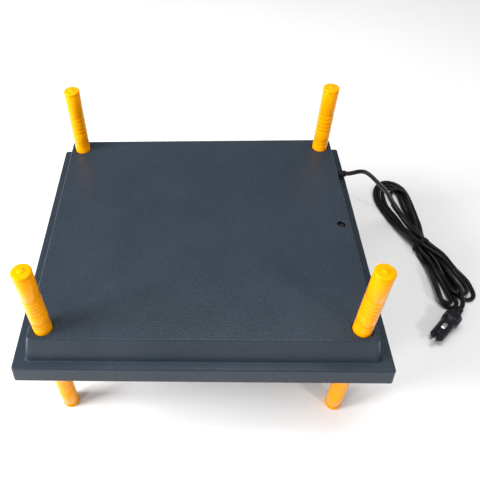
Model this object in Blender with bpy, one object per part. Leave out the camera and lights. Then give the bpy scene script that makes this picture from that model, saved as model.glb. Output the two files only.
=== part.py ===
"""Chick-brooder heating plate: a warm plate on four sliding legs, with a 12 V lead.

Metres, +Z up. The origin is on the standing surface, under the middle of the plate.
+X is the side that the lead leaves from, and -Y is the front.
"""
import math

import bmesh
import bpy
from mathutils import Matrix, Vector

MM = 0.001
GAP = 0.3 * MM                  # between neighbours that touch on the real object

# Cover, outside. The flange is the wide lower step and the plateau is the raised middle.
FLANGE_WIDTH = 400 * MM
FLANGE_DEPTH = 360 * MM
PLATEAU_WIDTH = 361 * MM
PLATEAU_DEPTH = 327 * MM
RIM_Z = 117.5 * MM              # the skirt's lower edge, with the legs set as they stand
FLANGE_HEIGHT = 22.5 * MM
FLANGE_DRAFT = 1.8 * MM         # how far the skirt's walls lean out on their way down
PLATEAU_HEIGHT = 30.5 * MM
WALL_DRAFT = 6.5 * MM           # how far the plateau's walls lean out on their way down
FLANGE_CORNER = 3 * MM
PLATEAU_CORNER = 4.5 * MM
CORNER_GROWTH = 0.2             # how much a corner's radius grows as the outline grows
EDGE_ROUND = 1.8 * MM
SHELL = 2.5 * MM
LEDGE_Z = RIM_Z + FLANGE_HEIGHT
TOP_Z = LEDGE_Z + PLATEAU_HEIGHT

# Underside and what the plate holds
PANEL_RECESS = 3.0 * MM
PANEL_THICKNESS = 2.5 * MM
PANEL_CORNER = 3 * MM
PANEL_Z = RIM_Z + PANEL_RECESS
PANEL_TOP_Z = PANEL_Z + PANEL_THICKNESS
FRAME_BAR = 10 * MM             # width of the bars of the frame inside the skirt
FOIL_WIDTH = 300 * MM
FOIL_DEPTH = 260 * MM
FOIL_THICKNESS = 0.8 * MM
FOIL_TOP_Z = PANEL_TOP_Z + GAP + FOIL_THICKNESS
WIRE_R = 0.8 * MM
WIRE_RUNS = 10
WIRE_MARGIN = 12 * MM
WIRE_Z = FOIL_TOP_Z + GAP + WIRE_R
FOAM_Z = WIRE_Z + WIRE_R + GAP
FOAM_THICKNESS = 15 * MM
SERVICE_STRIP = 26 * MM         # foil left bare on the lead's side for the cut-out and splices
LEAD_R = 1.2 * MM
SPLICE_Z = WIRE_Z + 3.6 * MM

# Legs
LEG_X = 165 * MM
LEG_Y = 147.8 * MM
LEG_LENGTH = 265.5 * MM
LEG_R = 9.8 * MM
LEG_BORE_R = 8.0 * MM
CAP_R = 10.7 * MM
CAP_HEIGHT = 4.2 * MM
CAP_SPIGOT = 12 * MM
CAP_NUB_R = 3.6 * MM
LEG_HOLE_R = 10.3 * MM
GUIDE_R = 12.2 * MM
GUIDE_BORE_R = 10.4 * MM
RING_BORE_R = 10.2 * MM
RING_HEIGHT = 3.3 * MM
LEG_SIDES = 24

# Indicator lamp in the plateau
LAMP_X = 169.7 * MM
LAMP_HOLE_R = 5.0 * MM
LAMP_BODY_R = 6.6 * MM
LAMP_BODY_HEIGHT = 9 * MM
LENS_DEPTH = 2.6 * MM

# Screws of the underside panel
SCREW_HEAD_R = 3.4 * MM
SCREW_SINK = 1.9 * MM           # height of the countersunk head, which sits flush with the panel
SCREW_SHANK_R = 1.5 * MM
SCREW_LENGTH = 14 * MM
SCREW_X = 120 * MM
SCREW_Y = 105 * MM

# Lead
CORD_R = 3.0 * MM
EXIT_Y = 117.5 * MM
EXIT_Z = 147.0 * MM
GLAND_TIP_X = 200 * MM
GLAND_FLANGE_R = 5.6 * MM
GLAND_NECK_R = 4.8 * MM
GLAND_TIP_R = 4.4 * MM
HANK_Z = 1.8 * MM               # the tie passes under the hank and keeps it off the surface
HANK_TOP_Z = 18.9 * MM
TIE_PLACE = (341.0 * MM, 107.0 * MM)
TIE_TURN = math.radians(12)     # the tie lies across the hank, turned this much from +X
TIE_WIDTH = 4 * MM
TIE_WALL = 1.2 * MM
TIE_INNER_WIDTH = 23.4 * MM

# Car plug, lying on the standing surface. Its own axis runs from its rear to its tip.
PLUG_REAR = (360.8 * MM, -13.2 * MM)
PLUG_HEADING = math.radians(224.5)
PLUG_BODY_R = 11.6 * MM
PLUG_NOSE_R = 10.0 * MM
PLUG_WALL = 1.8 * MM
PLUG_CORE_R = 4.6 * MM
RELIEF_LENGTH = 10 * MM
BODY_START = 13 * MM
BODY_END = 31 * MM
NOSE_END = 57 * MM
NOSE_CAP_END = 65 * MM
TIP_END = 73.5 * MM
TIP_R = 2.1 * MM
TIP_TRAVEL = 3.0 * MM
SPRING_R = 2.6 * MM
SPRING_WIRE_R = 0.4 * MM
CONTACT_MIDDLE = 48.5 * MM
CONTACT_LENGTH = 11 * MM
CONTACT_WIDTH = 5.6 * MM

CORNERS = {"front_left": (-1, -1), "front_right": (1, -1), "back_left": (-1, 1), "back_right": (1, 1)}

# The lead's route from the gland to the hank: it leaves level, droops and lands on the hank.
LEAD_ROUTE = [
    (200.4, 117.5, 147.0), (206.0, 117.9, 147.0), (211.6, 119.7, 146.8), (217.3, 122.4, 145.9),
    (227.3, 128.1, 141.2), (236.5, 133.2, 133.3), (245.2, 137.0, 123.8), (253.7, 140.2, 113.7),
    (262.0, 143.4, 103.5), (273.9, 149.0, 88.9), (284.6, 155.4, 73.0), (294.5, 161.0, 56.0),
    (304.8, 165.2, 40.0), (312.8, 166.6, 29.8), (319.4, 164.8, 23.0),
]
# The tail from the hank to the plug's strain relief
TAIL_ROUTE = [
    (370.2, 18.6, 10.5), (370.2, 13.0, 10.5), (369.9, 8.0, 10.7), (369.3, 2.3, 11.1),
    (367.8, -3.6, 11.5), (365.0, -8.9, 11.6), (361.1, -12.9, 11.6),
]
# The hank's outline, anticlockwise from the tie's right-hand end
HANK_OUTLINE = [
    (352.3, 106.5), (351.2, 112.0), (353.2, 124.0), (358.2, 142.0), (358.1, 158.0), (357.0, 174.0),
    (356.0, 192.0), (356.0, 210.0), (354.7, 228.0), (350.8, 243.0), (343.5, 255.0), (333.5, 261.8), (323.5, 263.2),
    (313.5, 261.4), (303.5, 253.5), (296.3, 241.0), (293.5, 224.0), (294.4, 206.0), (298.0, 188.0),
    (304.6, 167.0), (309.9, 150.0), (315.0, 134.0), (322.6, 120.0), (329.9, 107.8), (330.8, 101.5),
    (331.4, 92.0), (333.6, 78.0), (336.2, 62.0), (338.2, 46.0), (338.9, 30.0), (339.4, 14.0), (341.4, 3.0),
    (346.0, -4.0), (353.0, -6.4), (360.0, -4.6), (364.2, 1.5), (365.2, 10.0), (365.4, 18.5),
    (366.6, 21.0), (370.0, 21.3), (373.6, 21.0), (375.2, 18.5), (376.6, 10.0), (379.0, 5.0), (385.5, 4.6),
    (391.5, 8.6), (395.3, 17.0), (395.6, 30.0), (394.6, 42.0), (390.6, 56.0), (384.0, 70.0),
    (378.4, 80.0), (370.0, 89.0), (359.5, 96.0),
]


# ---- materials ----------------------------------------------------------------------------------

def material(name, colour, roughness, metallic=0.0, alpha=1.0):
    made = bpy.data.materials.new(name)
    made.use_nodes = True
    shader = made.node_tree.nodes["Principled BSDF"]
    shader.inputs["Base Color"].default_value = (*colour, 1.0)
    shader.inputs["Roughness"].default_value = roughness
    shader.inputs["Metallic"].default_value = metallic
    shader.inputs["Alpha"].default_value = alpha
    made.diffuse_color = (*colour, alpha)
    return made


def make_materials():
    return {
        "slate": material("slate_abs", (0.058, 0.072, 0.088), 0.42),
        "panel": material("panel_abs", (0.045, 0.052, 0.062), 0.50),
        "yellow": material("yellow_plastic", (0.95, 0.46, 0.01), 0.28),
        "black": material("black_plastic", (0.012, 0.012, 0.014), 0.38),
        "cord": material("black_pvc", (0.010, 0.010, 0.011), 0.45),
        "rubber": material("black_rubber", (0.016, 0.016, 0.016), 0.75),
        "foil": material("foil", (0.75, 0.76, 0.78), 0.30, 0.9),
        "foam": material("white_foam", (0.85, 0.86, 0.86), 0.90),
        "steel": material("zinc_steel", (0.62, 0.62, 0.60), 0.32, 1.0),
        "nickel": material("nickel", (0.72, 0.70, 0.66), 0.25, 1.0),
        "wire": material("silicone_red", (0.45, 0.03, 0.02), 0.50),
        "blue": material("silicone_blue", (0.03, 0.08, 0.35), 0.50),
        "lens": material("smoked_lens", (0.03, 0.01, 0.01), 0.10),
        "glass": material("fuse_glass", (0.80, 0.84, 0.84), 0.05, 0.0, 0.5),
        "white": material("white_plastic", (0.80, 0.80, 0.78), 0.45),
    }


# ---- mesh helpers -------------------------------------------------------------------------------

def finish_mesh(name, bm, finish, place=None, smooth_angle=35):
    """Turn a bmesh into a named object with outward faces and smooth round sides."""
    bmesh.ops.recalc_face_normals(bm, faces=bm.faces)
    mesh = bpy.data.meshes.new(name)
    bm.to_mesh(mesh)
    bm.free()
    if place is not None:
        mesh.transform(place)
    mesh.shade_smooth()
    mesh.set_sharp_from_angle(angle=math.radians(smooth_angle))
    made = bpy.data.objects.new(name, mesh)
    if finish is not None:
        mesh.materials.append(finish)
    bpy.context.scene.collection.objects.link(made)
    return made


def axis_empty(name, place):
    """An empty on a moving piece's joint axis. Pieces parented to it are modelled in its frame."""
    made = bpy.data.objects.new(name, None)
    made.matrix_world = place
    bpy.context.scene.collection.objects.link(made)
    return made


def skin_rings(bm, rings, close=False):
    """Join rings of points with quads. A ring of one point is a pole; end rings are capped."""
    loops = [[bm.verts.new(point) for point in ring] for ring in rings]
    pairs = list(zip(loops, loops[1:]))
    if close:
        pairs.append((loops[-1], loops[0]))
    for low, high in pairs:
        count = max(len(low), len(high))
        for i in range(count):
            j = (i + 1) % count
            corners = [low[i % len(low)], low[j % len(low)], high[j % len(high)], high[i % len(high)]]
            bm.faces.new(list(dict.fromkeys(corners)))
    if not close:
        for loop in (loops[0], loops[-1]):
            if len(loop) > 2:
                bm.faces.new(loop)


def turned(name, profile, finish, place=None, sides=LEG_SIDES, hollow=False):
    """Turn (radius, height) points about Z: a solid from pole to pole, or a hollow ring section."""
    rings = []
    for radius, height in profile:
        if radius == 0:
            rings.append([(0.0, 0.0, height)])
        else:
            turns = [2 * math.pi * i / sides for i in range(sides)]
            rings.append([(radius * math.cos(a), radius * math.sin(a), height) for a in turns])
    bm = bmesh.new()
    skin_rings(bm, rings, close=hollow)
    return finish_mesh(name, bm, finish, place)


def rounded_rectangle(width, depth, radius, z, steps=5):
    points = []
    for turn, (sx, sy) in enumerate(((1, 1), (-1, 1), (-1, -1), (1, -1))):
        for i in range(steps + 1):
            angle = math.radians(90 * (turn + i / steps))
            x = sx * (width / 2 - radius) + radius * math.cos(angle)
            y = sy * (depth / 2 - radius) + radius * math.sin(angle)
            points.append((x, y, z))
    return points


def slab(name, size, centre, finish, radius=1 * MM, place=None):
    """A plate with rounded vertical corners: size and centre are X, Y and Z."""
    low, high = centre[2] - size[2] / 2, centre[2] + size[2] / 2
    bm = bmesh.new()
    rings = [rounded_rectangle(size[0], size[1], radius, z, 2) for z in (low, high)]
    rings = [[(x + centre[0], y + centre[1], z) for x, y, z in ring] for ring in rings]
    skin_rings(bm, rings)
    return finish_mesh(name, bm, finish, place)


def add_cylinder(bm, radius, low, high, x=0.0, y=0.0, sides=LEG_SIDES, place=None):
    """Add a closed cylinder standing on (x, y) to a cutter's bmesh."""
    turns = [2 * math.pi * i / sides for i in range(sides)]
    rings = [[Vector((x + radius * math.cos(a), y + radius * math.sin(a), z)) for a in turns]
             for z in (low, high)]
    if place is not None:
        rings = [[place @ point for point in ring] for ring in rings]
    skin_rings(bm, rings)


def add_countersink(bm, x, y, high):
    """Add a screw's hole, with its countersink in the panel's underside, to a cutter's bmesh."""
    sides = 12
    turns = [2 * math.pi * i / sides for i in range(sides)]
    sink = SCREW_HEAD_R - SCREW_SHANK_R
    levels = [(SCREW_HEAD_R + GAP + sink / SCREW_SINK * MM, PANEL_Z - 1 * MM),
              (SCREW_SHANK_R + GAP, PANEL_Z + SCREW_SINK), (SCREW_SHANK_R + GAP, high)]
    rings = [[(x + r * math.cos(a), y + r * math.sin(a), z) for a in turns] for r, z in levels]
    skin_rings(bm, rings)


def cut_with(target, name, bm, operation="DIFFERENCE"):
    """Keep the cutter as a hidden wire object and give the target a Boolean that uses it."""
    cutter = finish_mesh(name, bm, None)
    cutter.hide_render = True
    cutter.display_type = "WIRE"
    boolean = target.modifiers.new(name, "BOOLEAN")
    boolean.operation = operation
    boolean.object = cutter


def smooth_route(points, spacing, closed=False):
    """Points a fixed distance apart on a Catmull-Rom curve through the route's own points."""
    route = [Vector(point) * MM for point in points]
    count = len(route)
    dense = []
    for i in range(count if closed else count - 1):
        if closed:
            a, b, c, d = (route[(i + k - 1) % count] for k in range(4))
        else:
            a, b, c, d = (route[min(max(i + k - 1, 0), count - 1)] for k in range(4))
        for step in range(20):
            t = step / 20
            dense.append(0.5 * (2 * b + (c - a) * t + (2 * a - 5 * b + 4 * c - d) * t * t
                                + (3 * b - a - 3 * c + d) * t ** 3))
    if not closed:
        dense.append(route[-1])
    kept = [dense[0]]
    for point in dense[1:]:
        if (point - kept[-1]).length >= spacing:
            kept.append(point)
    if not closed:
        kept[-1] = route[-1]
    return kept


def tube(name, points, radius, finish, resolution=2):
    curve = bpy.data.curves.new(name, "CURVE")
    curve.dimensions = "3D"
    curve.bevel_depth = radius
    curve.bevel_resolution = resolution
    curve.use_fill_caps = True
    spline = curve.splines.new("POLY")
    spline.points.add(len(points) - 1)
    for target, point in zip(spline.points, points):
        target.co = (*point, 1.0)
    curve.materials.append(finish)
    made = bpy.data.objects.new(name, curve)
    bpy.context.scene.collection.objects.link(made)
    return made


def arc(centre, radius, start, end, steps):
    """Points (radius, height) of a profile's round stretch, in degrees."""
    turns = [math.radians(start + (end - start) * i / steps) for i in range(steps + 1)]
    return [(centre[0] + radius * math.cos(a), centre[1] + radius * math.sin(a)) for a in turns]


# ---- plate --------------------------------------------------------------------------------------

def cover_ring(inset, z, draft=0.0, step="plateau"):
    """One level of the cover's outline, moved in by inset and out by draft."""
    if step == "flange":
        width, depth, corner = FLANGE_WIDTH, FLANGE_DEPTH, FLANGE_CORNER
    else:
        width, depth, corner = PLATEAU_WIDTH, PLATEAU_DEPTH, PLATEAU_CORNER
    grow = draft - inset
    radius = max(corner + CORNER_GROWTH * grow, 0.8 * MM)
    return rounded_rectangle(width + 2 * grow, depth + 2 * grow, radius, z)


def skirt_grow(z):
    """How far the skirt's outline has grown at a height, because of its draft."""
    return FLANGE_DRAFT * (LEDGE_Z - z) / FLANGE_HEIGHT


def top_cover(finish):
    """The formed shell: skirt, ledge and plateau, with its holes."""
    rings = [
        cover_ring(SHELL, TOP_Z - SHELL),
        cover_ring(SHELL, LEDGE_Z - SHELL, WALL_DRAFT),
        cover_ring(SHELL, LEDGE_Z - SHELL, skirt_grow(LEDGE_Z - SHELL), "flange"),
        cover_ring(SHELL, RIM_Z, FLANGE_DRAFT, "flange"),
        cover_ring(0, RIM_Z, FLANGE_DRAFT, "flange"),
    ]
    for inset, z in arc((EDGE_ROUND, LEDGE_Z - EDGE_ROUND), EDGE_ROUND, 180, 90, 3):
        rings.append(cover_ring(inset, z, skirt_grow(z), "flange"))
    for inset, z in arc((-EDGE_ROUND, LEDGE_Z + EDGE_ROUND), EDGE_ROUND, -90, 0, 3):
        rings.append(cover_ring(inset, z, WALL_DRAFT))
    for inset, z in arc((EDGE_ROUND, TOP_Z - EDGE_ROUND), EDGE_ROUND, 180, 90, 3):
        rings.append(cover_ring(inset, z))
    bm = bmesh.new()
    skin_rings(bm, rings)
    cover = finish_mesh("top_cover", bm, finish)
    holes = bmesh.new()
    for sx, sy in CORNERS.values():
        add_cylinder(holes, LEG_HOLE_R, LEDGE_Z, TOP_Z + 5 * MM, sx * LEG_X, sy * LEG_Y)
    add_cylinder(holes, LAMP_HOLE_R, LEDGE_Z + 10 * MM, TOP_Z + 5 * MM, LAMP_X, 0)
    sideways = Matrix.Translation((0, EXIT_Y, EXIT_Z)) @ Matrix.Rotation(math.radians(90), 4, "Y")
    add_cylinder(holes, GLAND_NECK_R + GAP, 172 * MM, 195 * MM, sides=16, place=sideways)
    cut_with(cover, "cutter_cover_holes", holes)


def screw_places():
    """The panel's screws: two on each side, along the middle of the frame's bars."""
    side_x = FLANGE_WIDTH / 2 - SHELL - FRAME_BAR / 2 - GAP
    side_y = FLANGE_DEPTH / 2 - SHELL - FRAME_BAR / 2 - GAP
    places = {}
    for corner, (sx, sy) in CORNERS.items():
        places["side_" + corner] = (sx * side_x, sy * SCREW_Y)
        places["end_" + corner] = (sx * SCREW_X, sy * side_y)
    return places


def frame_and_panel(frame_finish, panel_finish, screw_finish):
    """The bonded frame inside the skirt, the warm underside panel and the screws that join them."""
    outer = (FLANGE_WIDTH - 2 * SHELL - 2 * GAP, FLANGE_DEPTH - 2 * SHELL - 2 * GAP)
    inner = (outer[0] - 2 * FRAME_BAR, outer[1] - 2 * FRAME_BAR)
    low, high = PANEL_TOP_Z + GAP, LEDGE_Z - SHELL - GAP
    foot = tuple(side + 2 * skirt_grow(low) for side in outer)
    head = tuple(side + 2 * skirt_grow(high) for side in outer)
    rings = [rounded_rectangle(*foot, PANEL_CORNER, low), rounded_rectangle(*head, PANEL_CORNER, high),
             rounded_rectangle(*inner, 1.5 * MM, high), rounded_rectangle(*inner, 1.5 * MM, low)]
    bm = bmesh.new()
    skin_rings(bm, rings, close=True)
    frame = finish_mesh("rim_frame", bm, frame_finish)
    panel_size = (*(side + 2 * skirt_grow(PANEL_TOP_Z) for side in outer), PANEL_THICKNESS)
    panel_centre = (0, 0, PANEL_Z + PANEL_THICKNESS / 2)
    panel = slab("underside_panel", panel_size, panel_centre, panel_finish, PANEL_CORNER)

    frame_holes = bmesh.new()
    panel_holes = bmesh.new()
    shank_top = PANEL_Z + SCREW_LENGTH
    for name, (x, y) in screw_places().items():
        profile = [(0, PANEL_Z + GAP), (SCREW_HEAD_R - GAP, PANEL_Z + GAP),
                   (SCREW_SHANK_R, PANEL_Z + SCREW_SINK), (SCREW_SHANK_R, shank_top - 2 * MM),
                   (0, shank_top)]
        turned("panel_screw_" + name, profile, screw_finish, Matrix.Translation((x, y, 0)), 12)
        add_cylinder(frame_holes, SCREW_SHANK_R + GAP, low - 1 * MM, shank_top + 1 * MM, x, y, 12)
        add_countersink(panel_holes, x, y, low)
    for sx, sy in CORNERS.values():
        add_cylinder(panel_holes, LEG_HOLE_R, PANEL_Z - 1 * MM, low, sx * LEG_X, sy * LEG_Y)
    cut_with(frame, "cutter_frame_holes", frame_holes)
    cut_with(panel, "cutter_panel_holes", panel_holes)


def heater(made):
    """Foil carrier, heating wire in even runs, and the foam board above them."""
    foil_centre = (0, 0, FOIL_TOP_Z - FOIL_THICKNESS / 2)
    slab("heating_foil", (FOIL_WIDTH, FOIL_DEPTH, FOIL_THICKNESS), foil_centre, made["foil"], 4 * MM)
    pitch = (FOIL_DEPTH - 2 * WIRE_MARGIN) / (WIRE_RUNS - 1)
    half = FOIL_WIDTH / 2 - SERVICE_STRIP - WIRE_MARGIN
    bend = pitch / 2
    points = [Vector((half + 20 * MM, -pitch * (WIRE_RUNS - 1) / 2, WIRE_Z))]
    for run in range(WIRE_RUNS):
        y = pitch * (run - (WIRE_RUNS - 1) / 2)
        side = -1 if run % 2 == 0 else 1
        if run == WIRE_RUNS - 1:
            points.append(Vector((half + 20 * MM, y, WIRE_Z)))
            break
        for step in range(7):
            turn = math.radians(-90 + 30 * step)
            x = side * (half - bend + bend * math.cos(turn))
            points.append(Vector((x, y + bend + bend * math.sin(turn), WIRE_Z)))
    tube("heating_wire", points, WIRE_R, made["wire"], 1)
    foam_width = FOIL_WIDTH - SERVICE_STRIP
    foam_centre = (-SERVICE_STRIP / 2, 0, FOAM_Z + FOAM_THICKNESS / 2)
    slab("insulation_board", (foam_width, FOIL_DEPTH, FOAM_THICKNESS), foam_centre, made["foam"], 3 * MM)


def wiring(made):
    """Thermal cut-out, splices and the two inside leads, on the bare strip beside the foam."""
    strip_x = FOIL_WIDTH / 2 - SERVICE_STRIP / 2 + 3 * MM
    slab("thermal_cutout", (9 * MM, 22 * MM, 5 * MM), (strip_x, 20 * MM, FOIL_TOP_Z + GAP + 2.5 * MM),
         made["white"], 1.5 * MM)
    wire_end_y = FOIL_DEPTH / 2 - WIRE_MARGIN
    along = Matrix.Rotation(math.radians(90), 4, "X")
    barrel = [(0, 0), (1.9 * MM, 0), (2.3 * MM, 1 * MM), (2.3 * MM, 13 * MM), (1.9 * MM, 14 * MM),
              (0, 14 * MM)]
    for name, y in (("splice_positive", 60 * MM), ("splice_negative", 100 * MM)):
        place = Matrix.Translation((strip_x, y, SPLICE_Z)) @ along
        turned(name, barrel, made["nickel"], place, 12)
    x, z = strip_x / MM, SPLICE_Z / MM
    exit_y, exit_z = EXIT_Y / MM, EXIT_Z / MM
    positive = [(173.4, exit_y - 1.8, exit_z), (168.6, exit_y - 2.6, exit_z), (166, exit_y - 9, exit_z - 4),
                (161, exit_y - 22, exit_z - 12), (x + 2.5, 80, z + 5), (x, 68, z + 0.5), (x, 60.4, z)]
    negative = [(173.4, exit_y + 1.8, exit_z), (168.4, exit_y + 1.8, exit_z - 1),
                (157, exit_y + 3, exit_z - 13), (x + 3, 116, z + 4), (x, 106.5, z + 0.5), (x, 100.4, z)]
    tube("lead_positive", smooth_route(positive, 4 * MM), LEAD_R, made["wire"])
    tube("lead_negative", smooth_route(negative, 4 * MM), LEAD_R, made["blue"])
    link = [(x, 45.6, z), (x, 41, z - 0.5), (x, 36, FOIL_TOP_Z / MM + 2.2), (x, 31.4, FOIL_TOP_Z / MM + 2.2)]
    tube("cutout_lead", smooth_route(link, 3 * MM), LEAD_R, made["wire"])


def indicator(made):
    """Lamp housing under the plateau, with its smoked lens and its LED."""
    top = TOP_Z - SHELL - GAP
    bottom = top - LAMP_BODY_HEIGHT
    place = Matrix.Translation((LAMP_X, 0, 0))
    housing = [(LAMP_BODY_R, top), (LAMP_BODY_R, bottom), (3.2 * MM, bottom), (3.2 * MM, bottom + 3 * MM),
               (5.3 * MM, bottom + 3 * MM), (5.3 * MM, top)]
    turned("indicator_housing", housing, made["black"], place, 20, hollow=True)
    lens_low = bottom + 3 * MM + GAP
    lens_top = TOP_Z - LENS_DEPTH
    lens = [(0, lens_low), (4.7 * MM, lens_low), (4.7 * MM, lens_top - 1.2 * MM)]
    lens += [(4.7 * MM * math.cos(a), lens_top - 1.2 * MM + 1.2 * MM * math.sin(a))
             for a in (math.radians(30), math.radians(60))]
    lens += [(0, lens_top)]
    turned("indicator_lens", lens, made["lens"], place, 20)
    led = [(0, bottom - 3 * MM), (2.5 * MM, bottom - 3 * MM), (2.5 * MM, bottom + 1.2 * MM),
           (1.6 * MM, bottom + 2.6 * MM), (0, bottom + 3 * MM - GAP)]
    turned("indicator_led", led, made["glass"], place, 12)


# ---- legs ---------------------------------------------------------------------------------------

def leg_cap_profile():
    """Half section of an end cap from its spigot's end to its nub, with height 0 at the tube's end."""
    low = GAP
    high = GAP + CAP_HEIGHT
    spigot_r = LEG_BORE_R - GAP
    round_r = 2.2 * MM
    profile = [(0, -CAP_SPIGOT), (spigot_r - 1 * MM, -CAP_SPIGOT), (spigot_r, 1 * MM - CAP_SPIGOT),
               (spigot_r, low), (CAP_R, low)]
    profile += arc((CAP_R - round_r, high - round_r), round_r, 0, 90, 3)
    return profile


def leg(corner, sx, sy, made):
    """A leg: tube, top cap with its nub, and the foot, all about one axis."""
    axis = axis_empty("leg_axis_" + corner, Matrix.Translation((sx * LEG_X, sy * LEG_Y, 0)))
    tube_low = CAP_HEIGHT + GAP
    tube_high = LEG_LENGTH - CAP_HEIGHT - GAP
    barrel = [(LEG_BORE_R, tube_low), (LEG_R, tube_low), (LEG_R, tube_high), (LEG_BORE_R, tube_high)]
    nub_z = GAP + CAP_HEIGHT
    top = leg_cap_profile()
    top[-1] = (top[-1][0], nub_z - 0.5 * MM)
    top += [(CAP_NUB_R, nub_z - 0.7 * MM), (CAP_NUB_R * 0.7, nub_z - 0.2 * MM), (0, nub_z)]
    foot = leg_cap_profile() + [(0, nub_z)]
    pieces = [
        turned("leg_tube_" + corner, barrel, made["yellow"], hollow=True),
        turned("leg_cap_" + corner, top, made["yellow"], Matrix.Translation((0, 0, tube_high))),
        turned("leg_foot_" + corner, foot, made["yellow"],
               Matrix.Translation((0, 0, tube_low)) @ Matrix.Rotation(math.pi, 4, "X")),
    ]
    for piece in pieces:
        piece.parent = axis


def leg_guide(corner, sx, sy, made):
    """The sleeve that a leg slides in, and the rubber ring on it that holds the leg by friction."""
    place = Matrix.Translation((sx * LEG_X, sy * LEG_Y, 0))
    ring_top = TOP_Z - SHELL - GAP
    ring_low = ring_top - RING_HEIGHT
    low, high = PANEL_TOP_Z + GAP, ring_low - GAP
    sleeve = [(GUIDE_BORE_R, low), (GUIDE_R, low), (GUIDE_R, high), (GUIDE_BORE_R, high)]
    turned("leg_guide_" + corner, sleeve, made["black"], place, hollow=True)
    middle = (ring_low + ring_top) / 2
    ring = [(RING_BORE_R, middle - 0.8 * MM), (RING_BORE_R + 0.7 * MM, ring_low), (GUIDE_R, ring_low),
            (GUIDE_R, ring_top), (RING_BORE_R + 0.7 * MM, ring_top), (RING_BORE_R, middle + 0.8 * MM)]
    turned("grip_ring_" + corner, ring, made["rubber"], place, hollow=True)


def hexagon_nut(name, bore_r, corner_r, low, high, finish, place):
    """A nut with a round bore: every second point of its outside is a corner of the hexagon."""
    flat_r = corner_r * math.cos(math.radians(30))
    turns = [math.radians(30 * i) for i in range(12)]
    bore = [(bore_r * math.cos(a), bore_r * math.sin(a)) for a in turns]
    outside = [((flat_r if i % 2 else corner_r) * math.cos(a), (flat_r if i % 2 else corner_r) * math.sin(a))
               for i, a in enumerate(turns)]
    rings = [[(x, y, z) for x, y in points]
             for points, z in ((bore, low), (outside, low), (outside, high), (bore, high))]
    bm = bmesh.new()
    skin_rings(bm, rings, close=True)
    return finish_mesh(name, bm, finish, place)


# ---- lead ---------------------------------------------------------------------------------------

def gland(made):
    """Strain relief through the plateau's side wall, and the nut that holds it inside."""
    place = Matrix.Translation((0, EXIT_Y, EXIT_Z)) @ Matrix.Rotation(math.radians(90), 4, "Y")
    face = 187.4 * MM
    body = [(0, 174.4 * MM), (GLAND_NECK_R, 174.4 * MM), (GLAND_NECK_R, face), (GLAND_FLANGE_R, face),
            (GLAND_FLANGE_R, face + 1.8 * MM), (GLAND_NECK_R + 0.5 * MM, face + 2.6 * MM),
            (GLAND_TIP_R, GLAND_TIP_X - 1 * MM), (GLAND_TIP_R - 0.6 * MM, GLAND_TIP_X), (0, GLAND_TIP_X)]
    turned("cord_gland", body, made["black"], place, 16)
    hexagon_nut("gland_nut", GLAND_NECK_R + 2 * GAP, 7.8 * MM, 175.6 * MM, 180.4 * MM, made["black"], place)


def hank_outline():
    return smooth_route([(x, y, 0) for x, y in HANK_OUTLINE], 4 * MM, closed=True)


def free_lead(made):
    """The lead's free run, the tied hank and the tail to the plug."""
    tube("cord_lead", smooth_route(LEAD_ROUTE, 5.5 * MM), CORD_R, made["cord"])
    tube("cord_tail", smooth_route(TAIL_ROUTE, 5 * MM), CORD_R, made["cord"])
    outline = hank_outline()
    bm = bmesh.new()
    rings = [[(p.x, p.y, z) for p in outline] for z in (HANK_Z, HANK_TOP_Z)]
    skin_rings(bm, rings)
    finish_mesh("cord_hank", bm, made["cord"])


def tie(finish):
    """The band round the hank's waist."""
    across = Vector((math.cos(TIE_TURN), math.sin(TIE_TURN), 0))
    up = Vector((0, 0, 1))
    turn = Matrix((across, up, across.cross(up))).transposed().to_4x4()
    place = Matrix.Translation((*TIE_PLACE, (HANK_Z + HANK_TOP_Z) / 2)) @ turn
    inner = (TIE_INNER_WIDTH, HANK_TOP_Z - HANK_Z + 2 * GAP)
    outer = (inner[0] + 2 * TIE_WALL, inner[1] + 2 * TIE_WALL)
    half = TIE_WIDTH / 2
    rings = [rounded_rectangle(*inner, 1 * MM, -half, 3), rounded_rectangle(*outer, 2.2 * MM, -half, 3),
             rounded_rectangle(*outer, 2.2 * MM, half, 3), rounded_rectangle(*inner, 1 * MM, half, 3)]
    bm = bmesh.new()
    skin_rings(bm, rings, close=True)
    finish_mesh("cord_tie", bm, finish, place)


# ---- car plug -----------------------------------------------------------------------------------

def plug_place():
    """Local Z runs along the plug to its tip, and local X points up from the standing surface."""
    ahead = Vector((math.cos(PLUG_HEADING), math.sin(PLUG_HEADING), 0))
    up = Vector((0, 0, 1))
    across = ahead.cross(up)
    turn = Matrix((up, across, ahead)).transposed().to_4x4()
    return Matrix.Translation((PLUG_REAR[0], PLUG_REAR[1], PLUG_BODY_R)) @ turn


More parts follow.
